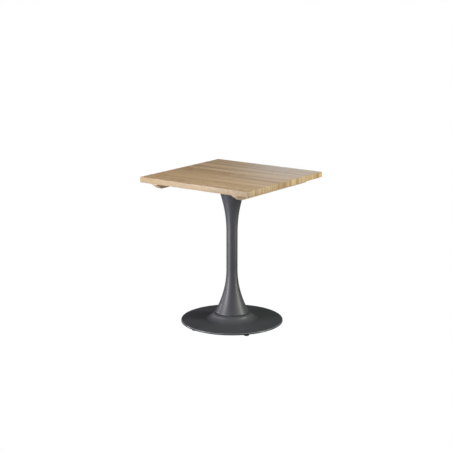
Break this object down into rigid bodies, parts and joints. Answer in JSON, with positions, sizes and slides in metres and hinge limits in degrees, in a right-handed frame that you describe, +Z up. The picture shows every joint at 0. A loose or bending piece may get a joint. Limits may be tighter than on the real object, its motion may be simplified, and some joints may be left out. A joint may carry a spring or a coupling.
{
  "type": "bistro table",
  "caption": "Square wood-topped bistro table on a hollow tulip column with a round base and adjustable glides.",
  "frame": {"origin": "on the floor, on the column's axis, with every glide screwed fully in", "axes": "+Z up; +X along the top's grain; +Y along the battens"},
  "size_m": [0.635, 0.635, 0.752],
  "materials": {
    "top_wood": "oiled edge-grain staves, satin",
    "batten_wood": "planed, oiled",
    "screw_steel": "zinc plated",
    "zinc_steel": "zinc plated",
    "insert_brass": "machined",
    "plate_paint": "matte black powder coat",
    "column_paint": "satin dark grey powder coat",
    "base_paint": "satin dark grey powder coat",
    "seam_plastic": "black",
    "glide_plastic": "black, moulded"
  },
  "bodies": {
    "table": {"tabletop": "top_wood", "batten_left": "batten_wood", "batten_right": "batten_wood", "batten_screw_left_1": "screw_steel", "batten_screw_left_2": "screw_steel", "batten_screw_left_3": "screw_steel", "batten_screw_left_4": "screw_steel", "batten_screw_right_1": "screw_steel", "batten_screw_right_2": "screw_steel", "batten_screw_right_3": "screw_steel", "batten_screw_right_4": "screw_steel", "mounting_plate": "plate_paint", "plate_bolt_1": "screw_steel", "plate_bolt_2": "screw_steel", "plate_bolt_3": "screw_steel", "plate_bolt_4": "screw_steel", "plate_bolt_5": "screw_steel", "plate_bolt_6": "screw_steel", "plate_insert_1": "insert_brass", "plate_insert_2": "insert_brass", "plate_insert_3": "insert_brass", "plate_insert_4": "insert_brass", "plate_insert_5": "insert_brass", "plate_insert_6": "insert_brass", "centring_ring": "zinc_steel", "tie_rod": "zinc_steel", "upper_washer": "zinc_steel", "upper_nut": "zinc_steel", "lower_washer": "zinc_steel", "lower_nut": "zinc_steel", "column_shell": "column_paint", "seam_ring": "seam_plastic", "base_disc": "base_paint", "glide_bush_1": "zinc_steel", "glide_bush_2": "zinc_steel", "glide_bush_3": "zinc_steel", "glide_bush_4": "zinc_steel", "glide_bush_5": "zinc_steel"},
    "glide_1": {"glide_pad_1": "glide_plastic"},
    "stud_1": {"glide_stud_1": "zinc_steel"},
    "glide_2": {"glide_pad_2": "glide_plastic"},
    "stud_2": {"glide_stud_2": "zinc_steel"},
    "glide_3": {"glide_pad_3": "glide_plastic"},
    "stud_3": {"glide_stud_3": "zinc_steel"},
    "glide_4": {"glide_pad_4": "glide_plastic"},
    "stud_4": {"glide_stud_4": "zinc_steel"},
    "glide_5": {"glide_pad_5": "glide_plastic"},
    "stud_5": {"glide_stud_5": "zinc_steel"}
  },
  "joints": [
    {"name": "glide_1_height", "type": "slide", "parent": "table", "child": "glide_1", "axis": [0, 0, -1], "range_m": [0, 0.005]},
    {"name": "glide_1_thread", "type": "hinge", "parent": "glide_1", "child": "stud_1", "pos_m": [-0.225, 0, 0], "axis": [0, 0, -1], "range_deg": [0, 1440]},
    {"name": "glide_2_height", "type": "slide", "parent": "table", "child": "glide_2", "axis": [0, 0, -1], "range_m": [0, 0.005]},
    {"name": "glide_2_thread", "type": "hinge", "parent": "glide_2", "child": "stud_2", "pos_m": [-0.06953, -0.21399, 0], "axis": [0, 0, -1], "range_deg": [0, 1440]},
    {"name": "glide_3_height", "type": "slide", "parent": "table", "child": "glide_3", "axis": [0, 0, -1], "range_m": [0, 0.005]},
    {"name": "glide_3_thread", "type": "hinge", "parent": "glide_3", "child": "stud_3", "pos_m": [0.18203, -0.13225, 0], "axis": [0, 0, -1], "range_deg": [0, 1440]},
    {"name": "glide_4_height", "type": "slide", "parent": "table", "child": "glide_4", "axis": [0, 0, -1], "range_m": [0, 0.005]},
    {"name": "glide_4_thread", "type": "hinge", "parent": "glide_4", "child": "stud_4", "pos_m": [0.18203, 0.13225, 0], "axis": [0, 0, -1], "range_deg": [0, 1440]},
    {"name": "glide_5_height", "type": "slide", "parent": "table", "child": "glide_5", "axis": [0, 0, -1], "range_m": [0, 0.005]},
    {"name": "glide_5_thread", "type": "hinge", "parent": "glide_5", "child": "stud_5", "pos_m": [-0.06953, 0.21399, 0], "axis": [0, 0, -1], "range_deg": [0, 1440]}
  ],
  "couplings": [
    {"joint": "glide_1_thread", "follows": "glide_1_height", "rad_per_m": 5026.5},
    {"joint": "glide_2_thread", "follows": "glide_2_height", "rad_per_m": 5026.5},
    {"joint": "glide_3_thread", "follows": "glide_3_height", "rad_per_m": 5026.5},
    {"joint": "glide_4_thread", "follows": "glide_4_height", "rad_per_m": 5026.5},
    {"joint": "glide_5_thread", "follows": "glide_5_height", "rad_per_m": 5026.5}
  ]
}
